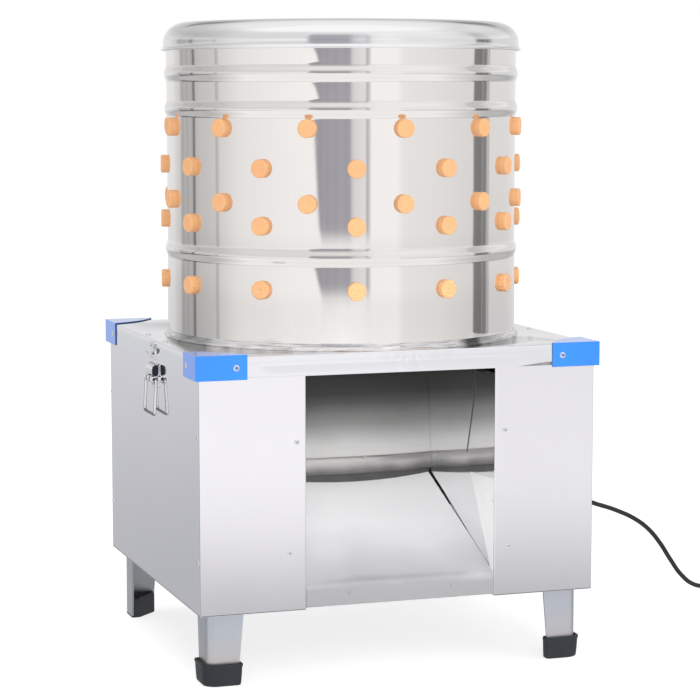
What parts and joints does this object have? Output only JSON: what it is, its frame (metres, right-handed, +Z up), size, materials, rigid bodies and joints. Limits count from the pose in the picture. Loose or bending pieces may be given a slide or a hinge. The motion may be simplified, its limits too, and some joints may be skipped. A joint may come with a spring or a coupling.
{
  "type": "poultry plucker",
  "caption": "Drum poultry plucker: an upright steel drum lined with rubber fingers over a spinning finger plate, on a boxed base with a front feather chute, legs and side latches.",
  "frame": {"origin": "on the floor under the centre of the drum", "axes": "+Z up along the drum axis, front with the feather chute towards -Y, +X to the right side with the switch and the cord"},
  "size_m": [1.07, 0.5334, 0.8777],
  "materials": {
    "satin_steel": "satin sheet",
    "polished_steel": "bright polished sheet",
    "frame_steel": "plain rolled",
    "bright_steel": "bright zinc",
    "cast_parts": "machined casting",
    "motor_alloy": "painted casting",
    "black_plastic": "moulded",
    "black_rubber": "matt",
    "orange_rubber": "matt",
    "blue_plastic": "moulded",
    "green_plastic": "moulded",
    "red_plastic": "moulded"
  },
  "bodies": {
    "base": {"left_casing": "satin_steel", "right_casing": "satin_steel", "back_cover": "satin_steel", "chute_plate": "satin_steel", "chute_cheek_left": "satin_steel", "chute_cheek_right": "satin_steel", "bulkhead": "satin_steel", "feather_tray": "satin_steel", "upper_beam": "frame_steel", "lower_beam": "frame_steel", "base_rails": "frame_steel", "motor_plate": "frame_steel", "leg_front_left": "frame_steel", "leg_front_right": "frame_steel", "leg_rear_left": "frame_steel", "leg_rear_right": "frame_steel", "latch_bracket_left": "frame_steel", "latch_bracket_right": "frame_steel", "casing_screws": "bright_steel", "frame_bolts": "bright_steel", "upper_bearing": "cast_parts", "lower_bearing": "cast_parts", "motor_housing": "motor_alloy", "motor_fan_cover": "black_plastic", "terminal_box": "black_plastic", "switch_box": "black_plastic", "foot_front_left": "black_plastic", "foot_front_right": "black_plastic", "foot_rear_left": "black_plastic", "foot_rear_right": "black_plastic", "chute_seal": "black_rubber", "drive_belt": "black_rubber", "cable_gland": "black_rubber", "power_cord": "black_rubber", "cord_coil": "black_rubber", "mains_plug": "black_rubber"},
    "drum": {"top_plate": "polished_steel", "drum_shell": "polished_steel", "drum_fingers": "orange_rubber", "guard_front_left": "blue_plastic", "guard_front_right": "blue_plastic", "guard_rear_left": "blue_plastic", "guard_rear_right": "blue_plastic", "top_plate_fasteners": "bright_steel", "latch_keepers": "frame_steel"},
    "rotor": {"drive_shaft": "bright_steel", "plate_hub": "cast_parts", "plucking_plate": "satin_steel", "plate_fingers": "orange_rubber", "hub_nut": "bright_steel", "hub_bolts": "bright_steel", "sweeper_blades": "frame_steel", "driven_pulley": "cast_parts"},
    "motor_rotor": {"motor_shaft": "bright_steel", "motor_pulley": "cast_parts"},
    "ring": {"splash_ring": "polished_steel"},
    "bail_left": {"latch_bail_left": "bright_steel"},
    "bail_right": {"latch_bail_right": "bright_steel"},
    "start_button": {"start_button": "green_plastic"},
    "stop_button": {"stop_button": "red_plastic"}
  },
  "joints": [
    {"name": "drum_lift", "type": "slide", "parent": "base", "child": "drum", "axis": [0, 0, 1], "range_m": [0, 0.2]},
    {"name": "ring_lift", "type": "slide", "parent": "drum", "child": "ring", "axis": [0, 0, 1], "range_m": [0, 0.06]},
    {"name": "plate_spin", "type": "hinge", "parent": "base", "child": "rotor", "pos_m": [0, 0, 0.3], "axis": [0, 0, 1], "continuous": true},
    {"name": "motor_spin", "type": "hinge", "parent": "base", "child": "motor_rotor", "pos_m": [0, 0.165, 0.2], "axis": [0, 0, 1], "continuous": true},
    {"name": "latch_left", "type": "hinge", "parent": "base", "child": "bail_left", "pos_m": [-0.2855, -0.024, 0.387], "axis": [0, 1, 0], "range_deg": [0, 165]},
    {"name": "latch_right", "type": "hinge", "parent": "base", "child": "bail_right", "pos_m": [0.2855, -0.024, 0.387], "axis": [0, -1, 0], "range_deg": [0, 165]},
    {"name": "start_press", "type": "slide", "parent": "base", "child": "start_button", "axis": [-1, 0, 0], "range_m": [0, 0.004], "stiffness_N_per_m": 400},
    {"name": "stop_press", "type": "slide", "parent": "base", "child": "stop_button", "axis": [-1, 0, 0], "range_m": [0, 0.004], "stiffness_N_per_m": 400}
  ],
  "couplings": [
    {"joint": "motor_spin", "follows": "plate_spin", "ratio": 5}
  ]
}
